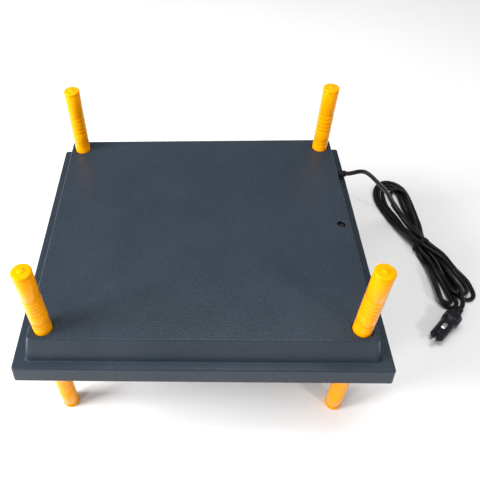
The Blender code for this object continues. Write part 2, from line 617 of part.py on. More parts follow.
def plug_half(name, side, place, finish):
    """One half of the plug's shell, split through the axis, with its contact's window."""
    step = 2.5 * MM
    inner_r = PLUG_NOSE_R - PLUG_WALL
    profile = [
        (PLUG_CORE_R, BODY_START), (PLUG_BODY_R - 3 * MM, BODY_START), (PLUG_BODY_R, BODY_START + step),
        (PLUG_BODY_R, BODY_END - step), (PLUG_NOSE_R, BODY_END), (PLUG_NOSE_R, NOSE_END),
        (inner_r, NOSE_END), (inner_r, BODY_END - 4 * MM), (PLUG_CORE_R, BODY_END - 4 * MM),
    ]
    half = turned(name, profile, finish, place, 20, hollow=True)
    reach = 30 * MM
    keep = bmesh.new()
    low_x, high_x = (GAP / 2, reach) if side > 0 else (-reach, -GAP / 2)
    rings = [[(low_x, -reach, z), (high_x, -reach, z), (high_x, reach, z), (low_x, reach, z)]
             for z in (0, 90 * MM)]
    skin_rings(keep, [[place @ Vector(point) for point in ring] for ring in rings])
    cut_with(half, "cutter_keep_" + name, keep, "INTERSECT")
    window = bmesh.new()
    half_y = CONTACT_WIDTH / 2 + GAP
    half_z = CONTACT_LENGTH / 2 + GAP
    low_x, high_x = (5 * MM, 15 * MM) if side > 0 else (-15 * MM, -5 * MM)
    rings = [[(low_x, -half_y, z), (high_x, -half_y, z), (high_x, half_y, z), (low_x, half_y, z)]
             for z in (CONTACT_MIDDLE - half_z, CONTACT_MIDDLE + half_z)]
    skin_rings(window, [[place @ Vector(point) for point in ring] for ring in rings])
    cut_with(half, "cutter_window_" + name, window)
    return half


def side_contact(name, side, axis, finish):
    """A sprung side contact: a crowned strip that stands a little proud of the nose."""
    half_y = CONTACT_WIDTH / 2
    half_z = CONTACT_LENGTH / 2
    crown = [(-half_z, 0.2), (-half_z * 0.7, 0.75), (-half_z * 0.3, 1.0), (half_z * 0.3, 1.0),
             (half_z * 0.7, 0.75), (half_z, 0.2)]
    bm = bmesh.new()
    rings = []
    for z, rise in crown:
        inner = PLUG_NOSE_R - 2.4 * MM
        outer = PLUG_NOSE_R - 0.4 * MM + rise * MM
        rings.append([(side * inner, -half_y, z), (side * outer, -half_y, z),
                      (side * outer, half_y, z), (side * inner, half_y, z)])
    skin_rings(bm, rings)
    finish_mesh(name, bm, finish).parent = axis


def plug(made):
    place = plug_place()
    plug_half("plug_shell_upper", 1, place, made["black"])
    plug_half("plug_shell_lower", -1, place, made["black"])
    contact_axis = axis_empty("plug_contact_axis", place @ Matrix.Translation((0, 0, CONTACT_MIDDLE)))
    side_contact("plug_contact_upper", 1, contact_axis, made["nickel"])
    side_contact("plug_contact_lower", -1, contact_axis, made["nickel"])
    relief = [(0, 0), (5.2 * MM, 0), (5.8 * MM, 1 * MM), (5.8 * MM, 4 * MM), (5.0 * MM, 4.6 * MM),
              (5.0 * MM, 6.2 * MM), (5.8 * MM, 6.8 * MM), (5.8 * MM, RELIEF_LENGTH),
              (PLUG_CORE_R - GAP, RELIEF_LENGTH + 1 * MM), (PLUG_CORE_R - GAP, BODY_START + 8 * MM),
              (0, BODY_START + 8 * MM)]
    turned("plug_strain_relief", relief, made["rubber"], place, 16)
    start = NOSE_END + GAP
    bore = TIP_R + GAP
    cap = [(bore, start), (PLUG_NOSE_R, start), (PLUG_NOSE_R, NOSE_CAP_END - 5 * MM)]
    cap += [(PLUG_NOSE_R - 5 * MM + 5 * MM * math.cos(a), NOSE_CAP_END - 5 * MM + 5 * MM * math.sin(a))
            for a in (math.radians(30), math.radians(60), math.radians(90))]
    cap += [(bore, NOSE_CAP_END)]
    turned("plug_nose_cap", cap, made["black"], place, 20, hollow=True)
    collar = start - 1.6 * MM
    pin = [(0, collar - 1.4 * MM), (3.2 * MM, collar - 1.4 * MM), (3.2 * MM, collar), (TIP_R, collar),
           (TIP_R, TIP_END - 2 * MM), (TIP_R * 0.7, TIP_END - 0.6 * MM), (0, TIP_END)]
    tip_axis = axis_empty("plug_tip_axis", place)
    turned("plug_tip_pin", pin, made["nickel"], sides=12).parent = tip_axis
    spring_front = collar - 1.4 * MM - GAP - SPRING_WIRE_R
    spring_length = 7 * MM
    turns, steps = 4, 10
    helix = [(SPRING_R * math.cos(2 * math.pi * i / steps), SPRING_R * math.sin(2 * math.pi * i / steps),
              spring_front - spring_length * i / (turns * steps))
             for i in range(turns * steps + 1)]
    tube("plug_tip_spring", helix, SPRING_WIRE_R, made["steel"], 1).parent = tip_axis
    fuse_front = spring_front - spring_length - SPRING_WIRE_R - GAP - TIP_TRAVEL
    fuse_rear = BODY_END - 4 * MM - 5 * MM
    fuse = [(0, fuse_rear), (3.0 * MM, fuse_rear), (3.0 * MM, fuse_front), (0, fuse_front)]
    turned("plug_fuse", fuse, made["glass"], place, 12)


def main():
    for old in list(bpy.data.objects):
        bpy.data.objects.remove(old)
    made = make_materials()
    top_cover(made["slate"])
    frame_and_panel(made["panel"], made["panel"], made["steel"])
    heater(made)
    wiring(made)
    indicator(made)
    for corner, (sx, sy) in CORNERS.items():
        leg_guide(corner, sx, sy, made)
        leg(corner, sx, sy, made)
    gland(made)
    free_lead(made)
    tie(made["rubber"])
    plug(made)


main()
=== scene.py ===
"""Looks of the brooder heating plate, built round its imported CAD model.

Metres, +Z up, in the CAD model's frame. +X is the side that the lead leaves from.
"""

import math

import bmesh
import bpy
import numpy as np
from mathutils import Matrix, Vector, geometry


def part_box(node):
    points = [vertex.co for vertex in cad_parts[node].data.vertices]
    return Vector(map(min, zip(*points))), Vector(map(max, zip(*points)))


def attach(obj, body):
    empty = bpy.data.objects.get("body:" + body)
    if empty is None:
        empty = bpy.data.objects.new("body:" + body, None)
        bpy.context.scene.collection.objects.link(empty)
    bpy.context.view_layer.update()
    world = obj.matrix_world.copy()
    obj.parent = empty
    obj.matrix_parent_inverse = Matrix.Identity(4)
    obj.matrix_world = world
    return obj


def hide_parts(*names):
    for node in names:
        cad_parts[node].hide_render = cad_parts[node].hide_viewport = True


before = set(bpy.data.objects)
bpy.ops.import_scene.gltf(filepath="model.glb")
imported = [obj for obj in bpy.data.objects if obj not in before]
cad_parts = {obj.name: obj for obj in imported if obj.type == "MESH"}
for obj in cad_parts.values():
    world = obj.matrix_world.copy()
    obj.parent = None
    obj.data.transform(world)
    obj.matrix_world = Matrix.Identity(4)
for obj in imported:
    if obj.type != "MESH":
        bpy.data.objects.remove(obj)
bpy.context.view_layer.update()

MM = 0.001
CORNERS = {"front_left": (-1, -1), "front_right": (1, -1), "back_left": (-1, 1), "back_right": (1, 1)}

# Cover
FLANGE = (400 * MM, 360 * MM, 3 * MM)        # width, depth and corner radius
PLATEAU = (361 * MM, 327 * MM, 4.5 * MM)
RIM_Z = 117.5 * MM
SKIRT_DRAFT = 1.8 * MM
LEDGE_Z = 140 * MM
TOP_Z = 170.5 * MM
WALL_DRAFT = 6.5 * MM
EDGE_ROUND = 1.8 * MM
SHELL = 2.5 * MM
LIP_ROUND = 0.9 * MM
RIM_ROUND = 0.7 * MM
RIM_INNER_ROUND = 0.5 * MM
HOLE_SIDES = 64

# Legs and lamp
LEG_X = 165 * MM
LEG_Y = 147.8 * MM
LEG_LENGTH = 265.5 * MM
LEG_R = 9.9 * MM
LEG_BORE_R = 8 * MM
CAP_R = 10.2 * MM
CAP_HEIGHT = 4.2 * MM
CAP_SEAM = 0.3 * MM
TUBE_INSET = CAP_HEIGHT + CAP_SEAM      # from a leg's end to its tube's end
LEG_HOLE_R = 10.7 * MM
RING_GROOVES = (40, 46, 52, 58, 64)     # mm from a leg's end
FINE_GROOVES = (81.5, 86.0)
LAMP_X = 169.7 * MM
LAMP_HOLE_R = 5 * MM

# Camera: its place, its turns in radians (pitch is downwards) and its lens
CAMERA_PLACE = (-0.0007, -0.45359, 0.64704)
CAMERA_YAW = -0.05663
CAMERA_PITCH = 0.83861
CAMERA_ROLL = -0.04379
CAMERA_LENS = 40.56
CAMERA_SENSOR = 36
CAMERA_SHIFT = 0.1259

# Lead
CORD_R = 3.0 * MM
EXIT = (0.200, 0.1175, 0.147)
PLUG_REAR = (360.8 * MM, -13.2 * MM, 11.6 * MM)
PLUG_HEADING = math.radians(224.5)


# ---- camera -------------------------------------------------------------------------------------

def make_camera():
    """The camera, turned by its yaw, pitch and roll, with a sideways shift and no depth of field."""
    yaw, pitch, roll = CAMERA_YAW, CAMERA_PITCH, CAMERA_ROLL
    ahead = Vector((math.sin(yaw) * math.cos(pitch), math.cos(yaw) * math.cos(pitch), -math.sin(pitch)))
    level = Vector((math.cos(yaw), -math.sin(yaw), 0))
    upright = level.cross(ahead)
    right = math.cos(roll) * level + math.sin(roll) * upright
    up = math.cos(roll) * upright - math.sin(roll) * level
    data = bpy.data.cameras.new("camera")
    data.sensor_width = CAMERA_SENSOR
    data.lens = CAMERA_LENS
    data.shift_x = CAMERA_SHIFT
    camera = bpy.data.objects.new("camera", data)
    turn = Matrix((right, up, -ahead)).transposed().to_4x4()
    camera.matrix_world = Matrix.Translation(CAMERA_PLACE) @ turn
    bpy.context.scene.collection.objects.link(camera)
    bpy.context.scene.camera = camera


# ---- materials ----------------------------------------------------------------------------------

def pattern(tree, kind, scale, detail=2.0, stretch=None):
    """A grey pattern in the model's own metres: noise or cells."""
    coordinates = tree.nodes.new("ShaderNodeTexCoord")
    vector = coordinates.outputs["Object"]
    if stretch is not None:
        mapping = tree.nodes.new("ShaderNodeMapping")
        mapping.inputs["Scale"].default_value = stretch
        tree.links.new(vector, mapping.inputs["Vector"])
        vector = mapping.outputs["Vector"]
    if kind == "cells":
        node = tree.nodes.new("ShaderNodeTexVoronoi")
        node.feature = "SMOOTH_F1"
        node.inputs["Smoothness"].default_value = 0.35
        out = node.outputs["Distance"]
    else:
        node = tree.nodes.new("ShaderNodeTexNoise")
        node.inputs["Detail"].default_value = detail
        out = node.outputs["Fac"]
    node.inputs["Scale"].default_value = scale
    tree.links.new(vector, node.inputs["Vector"])
    return out


def spread(tree, value, low, high, floor=0.3, ceiling=0.7):
    """Map a pattern's usual range, floor to ceiling, to low to high."""
    node = tree.nodes.new("ShaderNodeMapRange")
    for name, number in (("From Min", floor), ("From Max", ceiling), ("To Min", low), ("To Max", high)):
        node.inputs[name].default_value = number
    tree.links.new(value, node.inputs["Value"])
    return node.outputs["Result"]


def finish(name, dark, light, roughness, mottle=60, metallic=0.0, bumps=(), coat=0.0, fleck=None,
           transmission=0.0, specular=0.5, tint=(1.0, 1.0, 1.0)):
    """A procedural material: colour between dark and light, roughness between two values, and bumps.

    Each bump is (kind, scale, height in metres, strength), from the broadest to the finest, and may end
    in a stretch. A fleck is its colour, scale and share. The tint colours the reflections.
    """
    made = bpy.data.materials.new(name)
    made.use_nodes = True
    tree = made.node_tree
    shader = tree.nodes["Principled BSDF"]
    shader.inputs["Metallic"].default_value = metallic
    shader.inputs["Coat Weight"].default_value = coat
    shader.inputs["Coat Roughness"].default_value = 0.12
    shader.inputs["Specular IOR Level"].default_value = specular
    shader.inputs["Specular Tint"].default_value = (*tint, 1)
    shader.inputs["Transmission Weight"].default_value = transmission
    ramp = tree.nodes.new("ShaderNodeValToRGB")
    ramp.color_ramp.elements[0].position = 0.32
    ramp.color_ramp.elements[1].position = 0.68
    ramp.color_ramp.elements[0].color = (*dark, 1)
    ramp.color_ramp.elements[1].color = (*light, 1)
    tree.links.new(pattern(tree, "noise", mottle, 5.0), ramp.inputs["Fac"])
    colour = ramp.outputs["Color"]
    if fleck is not None:
        fleck_colour, fleck_scale, fleck_share = fleck
        blend = tree.nodes.new("ShaderNodeMix")
        blend.data_type = "RGBA"
        amount = spread(tree, pattern(tree, "noise", fleck_scale, 1.0), 0, fleck_share, 0.52, 0.72)
        tree.links.new(amount, blend.inputs["Factor"])
        tree.links.new(colour, blend.inputs["A"])
        blend.inputs["B"].default_value = (*fleck_colour, 1)
        colour = blend.outputs["Result"]
    tree.links.new(colour, shader.inputs["Base Color"])
    rough = spread(tree, pattern(tree, "noise", mottle * 1.7, 4.0), roughness[0], roughness[1])
    tree.links.new(rough, shader.inputs["Roughness"])
    normal = None
    for kind, scale, height, strength, *more in bumps:
        bump = tree.nodes.new("ShaderNodeBump")
        bump.inputs["Strength"].default_value = strength
        bump.inputs["Distance"].default_value = height
        tree.links.new(pattern(tree, kind, scale, 3.0, *more), bump.inputs["Height"])
        if normal is not None:
            tree.links.new(normal, bump.inputs["Normal"])
        normal = bump.outputs["Normal"]
    if normal is not None:
        tree.links.new(normal, shader.inputs["Normal"])
    return made


PEBBLE = [("cells", 620, 0.25 * MM, 0.75), ("noise", 1700, 0.07 * MM, 0.5)]
FINISH_VALUES = {
    "slate_abs": dict(
        dark=(0.021, 0.03, 0.042), light=(0.026, 0.036, 0.05), roughness=(0.25, 0.33), mottle=14,
        bumps=PEBBLE, fleck=((0.06, 0.076, 0.1), 900, 0.32), specular=0.16),
    "panel_abs": dict(
        dark=(0.04, 0.05, 0.062), light=(0.052, 0.063, 0.078), roughness=(0.46, 0.58), mottle=22,
        bumps=[("cells", 480, 0.2 * MM, 0.6), ("noise", 2200, 0.05 * MM, 0.4)]),
    "yellow_plastic": dict(
        dark=(0.99, 0.355, 0.0), light=(1.0, 0.38, 0.0), roughness=(0.14, 0.19), mottle=45,
        bumps=[("noise", 900, 0.006 * MM, 0.08)], specular=0.3, tint=(1.0, 0.78, 0.12)),
    "black_plastic": dict(
        dark=(0.008, 0.009, 0.012), light=(0.013, 0.014, 0.018), roughness=(0.3, 0.42), mottle=160,
        bumps=[("cells", 1900, 0.05 * MM, 0.35), ("noise", 4200, 0.02 * MM, 0.3)], specular=0.18),
    "cord_pvc": dict(
        dark=(0.005, 0.005, 0.006), light=(0.009, 0.009, 0.011), roughness=(0.26, 0.36), mottle=130,
        bumps=[("noise", 700, 0.04 * MM, 0.2), ("noise", 3200, 0.015 * MM, 0.25)], specular=0.2),
    "rubber": dict(
        dark=(0.006, 0.006, 0.007), light=(0.013, 0.013, 0.014), roughness=(0.5, 0.66), mottle=240,
        bumps=[("noise", 2300, 0.06 * MM, 0.5)], specular=0.2),
    "nickel": dict(
        dark=(0.6, 0.58, 0.54), light=(0.78, 0.76, 0.72), roughness=(0.18, 0.34), mottle=260,
        metallic=1.0, bumps=[("noise", 900, 0.02 * MM, 0.3, (1, 1, 6))]),
    "zinc_steel": dict(
        dark=(0.46, 0.46, 0.45), light=(0.66, 0.66, 0.64), roughness=(0.28, 0.46), mottle=420,
        metallic=1.0, bumps=[("noise", 2600, 0.03 * MM, 0.4)]),
    "foil": dict(
        dark=(0.7, 0.71, 0.73), light=(0.84, 0.85, 0.87), roughness=(0.22, 0.38), mottle=50,
        metallic=0.95, bumps=[("noise", 45, 0.8 * MM, 0.35), ("noise", 400, 0.1 * MM, 0.3)]),
    "foam": dict(
        dark=(0.72, 0.73, 0.73), light=(0.88, 0.89, 0.89), roughness=(0.85, 0.95), mottle=240,
        bumps=[("cells", 330, 0.5 * MM, 0.6)]),
    "silicone_red": dict(
        dark=(0.36, 0.022, 0.014), light=(0.5, 0.04, 0.022), roughness=(0.42, 0.58), mottle=170,
        bumps=[("noise", 1500, 0.04 * MM, 0.3)]),
    "silicone_blue": dict(
        dark=(0.022, 0.06, 0.28), light=(0.036, 0.09, 0.4), roughness=(0.42, 0.58), mottle=170,
        bumps=[("noise", 1500, 0.04 * MM, 0.3)]),
    "white_plastic": dict(
        dark=(0.7, 0.7, 0.67), light=(0.84, 0.84, 0.81), roughness=(0.38, 0.52), mottle=190,
        bumps=[("noise", 1300, 0.04 * MM, 0.3)]),
    "smoked_lens": dict(
        dark=(0.006, 0.004, 0.005), light=(0.014, 0.007, 0.008), roughness=(0.06, 0.14), mottle=210,
        bumps=[("noise", 600, 0.02 * MM, 0.15)], coat=0.5),
    "clear_glass": dict(
        dark=(0.78, 0.84, 0.84), light=(0.92, 0.95, 0.95), roughness=(0.03, 0.1), mottle=260,
        bumps=[("noise", 500, 0.02 * MM, 0.1)], transmission=0.8),
}


# ---- mesh helpers -------------------------------------------------------------------------------

def circle(radius, z, sides=HOLE_SIDES, x=0.0, y=0.0):
    turns = [2 * math.pi * i / sides for i in range(sides)]
    return [(x + radius * math.cos(a), y + radius * math.sin(a), z) for a in turns]


def arc(centre, radius, start, end, steps):
    """Points of a profile's round stretch, in degrees."""
    turns = [math.radians(start + (end - start) * i / steps) for i in range(steps + 1)]
    return [(centre[0] + radius * math.cos(a), centre[1] + radius * math.sin(a)) for a in turns]


def in_mm(profile):
    """The same profile in metres, from one in millimetres."""
    return [(radius * MM, height * MM) for radius, height in profile]


def rounded_rectangle(width, depth, radius, z, steps=9, support=1.2 * MM):
    """Anticlockwise outline. Support points beside each corner keep the straight sides' shading flat."""
    points = []
    for turn, (sx, sy) in enumerate(((1, 1), (-1, 1), (-1, -1), (1, -1))):
        corner = Vector((sx * (width / 2 - radius), sy * (depth / 2 - radius), z))
        around = []
        for i in range(steps + 1):
            angle = math.radians(90 * (turn + i / steps))
            around.append(corner + Vector((radius * math.cos(angle), radius * math.sin(angle), 0)))
        before = math.radians(90 * turn)
        after = math.radians(90 * (turn + 1))
        points.append(around[0] + support * Vector((math.sin(before), -math.cos(before), 0)))
        points += around
        points.append(around[-1] + support * Vector((-math.sin(after), math.cos(after), 0)))
    return [tuple(point) for point in points]


def skin_rings(bm, rings, close=False, cap=True):
    """Join rings of points with quads. A ring of one point is a pole; other end rings are capped."""
    loops = [[bm.verts.new(point) for point in ring] for ring in rings]
    pairs = list(zip(loops, loops[1:]))
    if close:
        pairs.append((loops[-1], loops[0]))
    for low, high in pairs:
        count = max(len(low), len(high))
        for i in range(count):
            j = (i + 1) % count
            corners = [low[i % len(low)], low[j % len(low)], high[j % len(high)], high[i % len(high)]]
            bm.faces.new(list(dict.fromkeys(corners)))
    if cap and not close:
        for loop in (loops[0], loops[-1]):
            if len(loop) > 2:
                bm.faces.new(loop)


def add_holed_plate(bm, outline, holes, z):
    """A flat face inside outline with its holes left open, as triangles."""
    rings = [[(x, y) for x, y, _ in ring] for ring in [outline, *holes]]
    points = [Vector(p) for ring in rings for p in ring]
    edges = []
    start = 0
    for ring in rings:
        edges += [(start + i, start + (i + 1) % len(ring)) for i in range(len(ring))]
        start += len(ring)
    found, _, faces, *_ = geometry.delaunay_2d_cdt(points, edges, [], 0, 1e-7)
    verts = [bm.verts.new((p.x, p.y, z)) for p in found]
    for face in faces:
        middle = sum((found[i] for i in face), Vector((0, 0))) / len(face)
        if not any(inside(middle, ring) for ring in rings[1:]):
            bm.faces.new([verts[i] for i in face])


def inside(point, ring):
    """Whether a 2-D point lies inside a closed ring of points."""
    hit = False
    for (ax, ay), (bx, by) in zip(ring, ring[1:] + ring[:1]):
        if (ay > point[1]) != (by > point[1]) and point[0] < (bx - ax) * (point[1] - ay) / (by - ay) + ax:
            hit = not hit
    return hit


def make_piece(name, bm, material, body, nodes=(), place=None, sharp=35, weld=False):
    """Turn a bmesh into a finished piece that rides on a body and replaces CAD nodes."""
    if weld:
        bmesh.ops.remove_doubles(bm, verts=bm.verts, dist=1e-6)
    bmesh.ops.recalc_face_normals(bm, faces=bm.faces)
    mesh = bpy.data.meshes.new(name)
    bm.to_mesh(mesh)
    bm.free()
    if place is not None:
        mesh.transform(place)
    mesh.shade_smooth()
    mesh.set_sharp_from_angle(angle=math.radians(sharp))
    mesh.materials.append(FINISHES[material])
    made = bpy.data.objects.new(name, mesh)
    bpy.context.scene.collection.objects.link(made)
    return settle(made, body, nodes)


def settle(made, body, nodes):
    """Give a piece its body and the CAD nodes that it stands for."""
    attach(made, body)
    if nodes:
        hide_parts(*nodes)
    return made


def turned(name, profile, material, body, nodes=(), place=None, sides=64, hollow=False, sharp=35):
    """Turn (radius, height) points about Z. Radius 0 is a pole."""
    rings = [[(0.0, 0.0, z)] if r == 0 else circle(r, z, sides) for r, z in profile]
    bm = bmesh.new()
    skin_rings(bm, rings, close=hollow)
    return make_piece(name, bm, material, body, nodes, place, sharp)


# ---- cover --------------------------------------------------------------------------------------

def cover_level(step, inset, z, draft=0.0):
    """One outline of the flange or plateau, grown by its draft and drawn in by inset."""
    width, depth, corner = step
    if step is FLANGE:
        draft += SKIRT_DRAFT * (LEDGE_Z - z) / (LEDGE_Z - RIM_Z)
    grow = draft - inset
    return rounded_rectangle(width + 2 * grow, depth + 2 * grow, max(corner + 0.2 * grow, 0.8 * MM), z)


def cover():
    """The formed shell: plateau, wall, ledge and skirt, with rounded lips at its holes."""
    border = EDGE_ROUND + 0.8 * MM
    levels = [cover_level(PLATEAU, border, TOP_Z)]
    for inset, z in arc((EDGE_ROUND, TOP_Z - EDGE_ROUND), EDGE_ROUND, 90, 180, 8):
        levels.append(cover_level(PLATEAU, inset, z))
    wall = (TOP_Z - EDGE_ROUND, LEDGE_Z + EDGE_ROUND)
    for share in (0.04, 0.96):
        levels.append(cover_level(PLATEAU, 0, wall[0] + (wall[1] - wall[0]) * share, WALL_DRAFT * share))
    for inset, z in arc((-EDGE_ROUND, LEDGE_Z + EDGE_ROUND), EDGE_ROUND, 0, -90, 8):
        levels.append(cover_level(PLATEAU, inset, z, WALL_DRAFT))
    levels.append(cover_level(PLATEAU, -EDGE_ROUND - 0.5 * MM, LEDGE_Z, WALL_DRAFT))
    levels.append(cover_level(FLANGE, EDGE_ROUND + 0.5 * MM, LEDGE_Z))
    for inset, z in arc((EDGE_ROUND, LEDGE_Z - EDGE_ROUND), EDGE_ROUND, 90, 180, 8):
        levels.append(cover_level(FLANGE, inset, z))
    levels.append(cover_level(FLANGE, 0, LEDGE_Z - EDGE_ROUND - 0.8 * MM))
    levels.append(cover_level(FLANGE, 0, RIM_Z + 2 * RIM_ROUND))
    for inset, z in arc((RIM_ROUND, RIM_Z + RIM_ROUND), RIM_ROUND, 180, 270, 4):
        levels.append(cover_level(FLANGE, inset, z))
    inner = (SHELL - RIM_INNER_ROUND, RIM_Z + RIM_INNER_ROUND)
    for inset, z in arc(inner, RIM_INNER_ROUND, 270, 360, 3):
        levels.append(cover_level(FLANGE, inset, z))
    levels.append(cover_level(FLANGE, SHELL, LEDGE_Z - SHELL - 2 * MM))
    levels.append(cover_level(FLANGE, SHELL + 2 * MM, LEDGE_Z - SHELL))
    levels.append(cover_level(PLATEAU, SHELL - 1 * MM, LEDGE_Z - SHELL, WALL_DRAFT))
    levels.append(cover_level(PLATEAU, SHELL, LEDGE_Z - SHELL + 1 * MM, WALL_DRAFT))
    levels.append(cover_level(PLATEAU, SHELL, TOP_Z - SHELL - 1 * MM))
    levels.append(cover_level(PLATEAU, SHELL + 1 * MM, TOP_Z - SHELL))
    bm = bmesh.new()
    skin_rings(bm, levels, cap=False)
    places = [(sx * LEG_X, sy * LEG_Y, LEG_HOLE_R) for sx, sy in CORNERS.values()]
    places.append((LAMP_X, 0, LAMP_HOLE_R))
    outer_holes, inner_holes = [], []
    for x, y, radius in places:
        lip = [(radius + LIP_ROUND + 0.5 * MM, TOP_Z)]
        lip += arc((radius + LIP_ROUND, TOP_Z - LIP_ROUND), LIP_ROUND, 90, 180, 5)
        lip.append((radius, TOP_Z - SHELL))
        rings = [circle(r, z, x=x, y=y) for r, z in lip]
        skin_rings(bm, rings, cap=False)
        outer_holes.append(rings[0])
        inner_holes.append(rings[-1])
    add_holed_plate(bm, levels[0], outer_holes, TOP_Z)
    add_holed_plate(bm, levels[-1], inner_holes, TOP_Z - SHELL)
    make_piece("formed_cover", bm, "slate_abs", "root", ["top_cover"], weld=True)


# ---- legs ---------------------------------------------------------------------------------------

def groove(distance, depth=0.38 * MM, half=0.8 * MM):
    """Profile points (depth in from the barrel, distance from the end) of one ring groove."""
    return [(0, distance - half), (depth * 0.45, distance - half * 0.55), (depth, distance - half * 0.15),
            (depth, distance + half * 0.15), (depth * 0.45, distance + half * 0.55), (0, distance + half)]


def barrel_profile():
    """Half section of a leg's tube, ring grooves near both ends."""
    low = TUBE_INSET
    high = LEG_LENGTH - TUBE_INSET
    cuts = []
    for distance in RING_GROOVES:
        cuts += groove(distance * MM)
    for distance in FINE_GROOVES:
        cuts += groove(distance * MM, 0.20 * MM, 0.55 * MM)
    up = [(LEG_R - inset, distance) for inset, distance in cuts]
    down = [(LEG_R - inset, LEG_LENGTH - distance) for inset, distance in reversed(cuts)]
    profile = [(LEG_BORE_R, low), (LEG_R - 0.8 * MM, low), (LEG_R - 0.3 * MM, low + 0.35 * MM),
               (LEG_R, low + 0.9 * MM)]
    profile += up + down
    profile += [(LEG_R, high - 0.9 * MM), (LEG_R - 0.3 * MM, high - 0.35 * MM), (LEG_R - 0.8 * MM, high),
                (LEG_BORE_R, high)]
    return profile


# The soft nub on a top cap: radius and rise over the crown, in millimetres
NUB = [(6.6, 0.12), (5.3, 0.16), (4.5, 0.10), (4.1, 0.14), (3.7, 0.42), (3.1, 0.85), (2.2, 1.24), (1.1, 1.45)]


def cap_profile(nub):
    """Half section of an end cap, from its spigot to its crown. Height 0 is the tube's end."""
    low = 0.45 * MM
    high = TUBE_INSET
    edge = 2.0 * MM
    spigot_r = LEG_BORE_R - 0.3 * MM
    profile = [(0, -12 * MM), (spigot_r - 1 * MM, -12 * MM), (spigot_r, -11 * MM), (spigot_r, low),
               (CAP_R - 0.9 * MM, low), (CAP_R - 0.35 * MM, low + 0.3 * MM), (CAP_R, low + 0.8 * MM)]
    crown = high - 1.5 * MM if nub else high - 0.2 * MM
    profile += arc((CAP_R - edge, crown - edge), edge, 0, 78, 9)
    if nub:
        profile += [(radius, crown + rise) for radius, rise in in_mm(NUB)]
        profile.append((0, high))
    else:
        profile += [(6.0 * MM, high - 0.06 * MM), (0, high)]
    return profile


def legs():
    """A barrel and two end caps on each corner's sliding body."""
    for corner, (sx, sy) in CORNERS.items():
        place = Matrix.Translation((sx * LEG_X, sy * LEG_Y, 0))
        body = "leg_" + corner
        top = place @ Matrix.Translation((0, 0, LEG_LENGTH - TUBE_INSET))
        bottom = place @ Matrix.Translation((0, 0, TUBE_INSET)) @ Matrix.Rotation(math.pi, 4, "X")
        turned("barrel_" + corner, barrel_profile(), "yellow_plastic", body, ["leg_tube_" + corner], place,
               hollow=True)
        turned("top_cap_" + corner, cap_profile(True), "yellow_plastic", body, ["leg_cap_" + corner], top)
        turned("end_cap_" + corner, cap_profile(False), "yellow_plastic", body, ["leg_foot_" + corner],
               bottom)


# ---- small pieces on the plate ------------------------------------------------------------------

def lamp_lens():
    """The indicator's dark lens, its dome a little below the plateau."""
    radius, dome = 4.7, 1.3
    low = (TOP_Z - SHELL) / MM - 6.0
    shoulder = TOP_Z / MM - 2.6 - dome
    profile = [(0, low), (radius, low), (radius, shoulder)]
    turns = [math.radians(12 * i) for i in range(1, 8)]
    profile += [(radius * math.cos(a), shoulder + dome * math.sin(a)) for a in turns]
    profile.append((0, shoulder + dome))
    place = Matrix.Translation((LAMP_X, 0, 0))
    turned("lamp_lens", in_mm(profile), "smoked_lens", "root", ["indicator_lens"], place, 40)


def cross_outline(arm, half, z):
    """A cross-head recess: arms along X and Y."""
    points = [(arm, -half), (arm, half), (half, half), (half, arm), (-half, arm), (-half, half), (-arm, half),
              (-arm, -half), (-half, -half), (-half, -arm), (half, -arm), (half, -half)]
    return [(x, y, z) for x, y in points]


def panel_screw(name, turn):
    """A countersunk cross-head screw, its head flush with the panel's lower face."""
    node = "panel_screw_" + name
    low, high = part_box(node)
    middle = (low + high) / 2
    bm = bmesh.new()
    rim = circle(3.28 * MM, 0, 32)
    rings = [rim, circle(3.36 * MM, 0.12 * MM, 32), circle(1.5 * MM, 1.95 * MM, 32),
             circle(1.5 * MM, high.z - low.z - 2 * MM, 32), [(0, 0, high.z - low.z)]]
    skin_rings(bm, rings, cap=False)
    mouth = cross_outline(1.9 * MM, 0.42 * MM, 0)
    add_holed_plate(bm, rim, [mouth], 0)
    skin_rings(bm, [mouth, cross_outline(1.0 * MM, 0.3 * MM, 1.1 * MM)], cap=False)
    floor = cross_outline(1.0 * MM, 0.3 * MM, 1.1 * MM)
    bm.faces.new([bm.verts.new(point) for point in floor])
    place = Matrix.Translation((middle.x, middle.y, low.z)) @ Matrix.Rotation(turn, 4, "Z")
    make_piece("screw_" + name, bm, "zinc_steel", "root", [node], place, weld=True)


def gland():
    """Strain relief of the lead, with a rounded flange on the wall and ribs on its taper."""
    place = Matrix.Translation((0, EXIT[1], EXIT[2])) @ Matrix.Rotation(math.radians(90), 4, "Y")
    face = 187.4
    profile = [(0, 174.4), (4.8, 174.4), (4.8, face - 1.4), (5.6, face - 1.4)]
    profile += arc((5.0, face + 1.0), 0.6, 0, 90, 4)
    for i in range(4):
        start = face + 2.4 + 2.4 * i
        radius = 5.0 - 0.2 * i
        profile += [(radius - 0.55, start), (radius - 0.55, start + 0.7), (radius, start + 0.95),
                    (radius - 0.1, start + 2.1)]
    profile += [(3.9, 200.0), (3.2, 200.2), (0, 200.2)]
    return turned("lead_gland", in_mm(profile), "black_plastic", "root", ["cord_gland"], place, 40)


# ---- lead: route, relaxation and tube -----------------------------------------------------------
# Millimetres in this section. The hank is nine strands through a tie, folded at both ends.

TIE = np.array([341.0, 107.0])
TIE_TURN = math.radians(12)
ACROSS = np.array([math.cos(TIE_TURN), math.sin(TIE_TURN)])
ALONG = np.array([-ACROSS[1], ACROSS[0]])
THICK = 6.0
LIFT = 1.8                      # the tie passes under the hank

